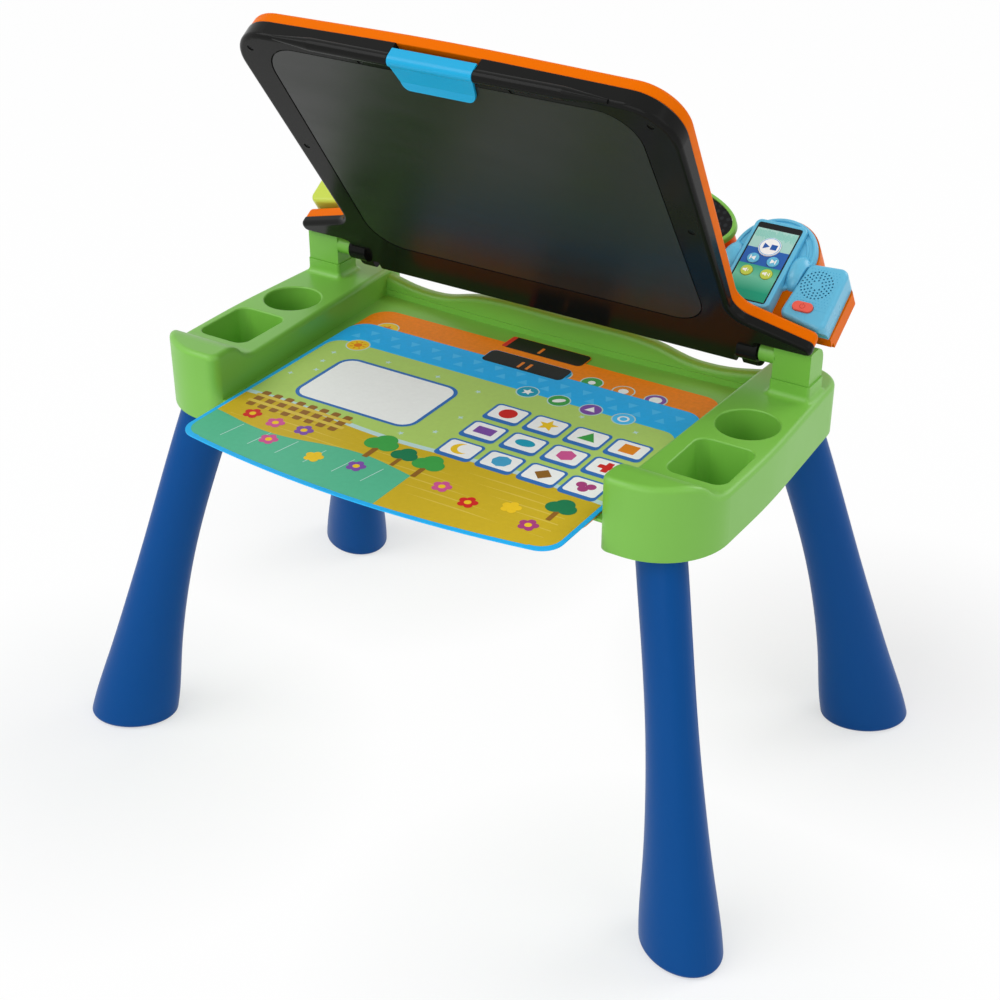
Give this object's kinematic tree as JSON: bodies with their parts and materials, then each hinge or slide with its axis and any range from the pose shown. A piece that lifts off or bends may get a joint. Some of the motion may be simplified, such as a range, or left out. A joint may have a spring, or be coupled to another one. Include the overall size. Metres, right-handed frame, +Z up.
{
  "type": "kids learning table",
  "caption": "Child's activity table: green tray on splayed blue legs, hinged lid with a drawing board under it, and a sound console along the hinge.",
  "frame": {"origin": "on the floor under the middle of the four feet", "axes": "+X to the right of a child sitting at the table, +Y to the back where the hinge is, +Z up"},
  "size_m": [0.7162, 0.4657, 0.7018],
  "materials": {
    "green_plastic": "satin moulded plastic",
    "blue_plastic": "satin moulded plastic",
    "black_plastic": "glossy moulded plastic",
    "orange_plastic": "satin moulded plastic",
    "sky_plastic": "satin moulded plastic",
    "clip_plastic": "satin moulded plastic",
    "lime_plastic": "satin moulded plastic",
    "coral_plastic": "satin moulded plastic",
    "white_plastic": "glossy moulded plastic",
    "grey_plastic": "matt moulded plastic",
    "board_surface": "smooth writing surface",
    "pad_surface": "smooth clear-coated panel",
    "dark_lens": "smoked clear plastic",
    "screen_print": "printed panel",
    "circuit": "lacquered circuit board",
    "cell_wrap": "printed metal can",
    "steel": "plain steel",
    "dark_steel": "blackened steel",
    "blue_card": "printed, coated card",
    "orange_card": "printed, coated card"
  },
  "bodies": {
    "frame": {"tray_frame": "green_plastic", "arm_base_left": "green_plastic", "arm_base_right": "green_plastic", "base_screws": "steel", "front_leg_left": "blue_plastic", "front_leg_right": "blue_plastic", "back_leg_left": "blue_plastic", "back_leg_right": "blue_plastic", "hinge_post_left": "green_plastic", "hinge_post_right": "green_plastic", "hinge_pin_left": "steel", "hinge_pin_right": "steel"},
    "lid": {"lid_under_shell": "black_plastic", "lid_top_shell": "orange_plastic", "drawing_board": "board_surface", "touch_panel": "pad_surface", "lid_screws": "dark_steel", "clip_pin": "steel", "clip_spring": "steel", "console_front": "orange_plastic", "console_back": "orange_plastic", "console_screws": "dark_steel", "battery_door": "orange_plastic", "battery_box": "grey_plastic", "battery_cells": "cell_wrap", "main_board": "circuit", "display_bezel": "green_plastic", "display_lens": "dark_lens", "led_board": "circuit", "phone_holder": "sky_plastic", "phone_body": "sky_plastic", "phone_panel": "screen_print", "key_board": "circuit", "speaker_pod": "sky_plastic", "left_pod": "lime_plastic", "speaker_driver": "grey_plastic", "power_switch": "grey_plastic"},
    "play_key": {"play_key": "white_plastic"},
    "back_key": {"back_key": "sky_plastic"},
    "next_key": {"next_key": "sky_plastic"},
    "quieter_key": {"quieter_key": "lime_plastic"},
    "louder_key": {"louder_key": "lime_plastic"},
    "power_button": {"power_button": "coral_plastic"},
    "paper_clip": {"paper_clip": "clip_plastic"},
    "upper_page": {"upper_page": "blue_card"},
    "lower_page": {"lower_page": "orange_card"}
  },
  "joints": [
    {"name": "lid_hinge", "type": "hinge", "parent": "frame", "child": "lid", "pos_m": [0, 0.087, 0.425], "axis": [-1, 0, 0], "range_deg": [-58.2, 30]},
    {"name": "clip_hinge", "type": "hinge", "parent": "lid", "child": "paper_clip", "pos_m": [0, -0.09247, 0.68571], "axis": [-1, 0, 0], "range_deg": [0, 25], "stiffness_Nm_per_rad": 0.15},
    {"name": "power_press", "type": "slide", "parent": "lid", "child": "power_button", "axis": [0, 0.5592, -0.829], "range_m": [0, 0.0015], "stiffness_N_per_m": 700},
    {"name": "play_key_press", "type": "slide", "parent": "lid", "child": "play_key", "axis": [0, 0.4957, -0.8685], "range_m": [0, 0.0008], "stiffness_N_per_m": 900},
    {"name": "back_key_press", "type": "slide", "parent": "lid", "child": "back_key", "axis": [0, 0.4957, -0.8685], "range_m": [0, 0.0008], "stiffness_N_per_m": 900},
    {"name": "next_key_press", "type": "slide", "parent": "lid", "child": "next_key", "axis": [0, 0.4957, -0.8685], "range_m": [0, 0.0008], "stiffness_N_per_m": 900},
    {"name": "quieter_key_press", "type": "slide", "parent": "lid", "child": "quieter_key", "axis": [0, 0.4957, -0.8685], "range_m": [0, 0.0008], "stiffness_N_per_m": 900},
    {"name": "louder_key_press", "type": "slide", "parent": "lid", "child": "louder_key", "axis": [0, 0.4957, -0.8685], "range_m": [0, 0.0008], "stiffness_N_per_m": 900},
    {"name": "upper_page_slide", "type": "slide", "parent": "frame", "child": "upper_page", "axis": [0, -1, 0], "range_m": [-0.045, 0.12]},
    {"name": "lower_page_slide", "type": "slide", "parent": "frame", "child": "lower_page", "axis": [0, -1, 0], "range_m": [-0.008, 0.15]}
  ]
}
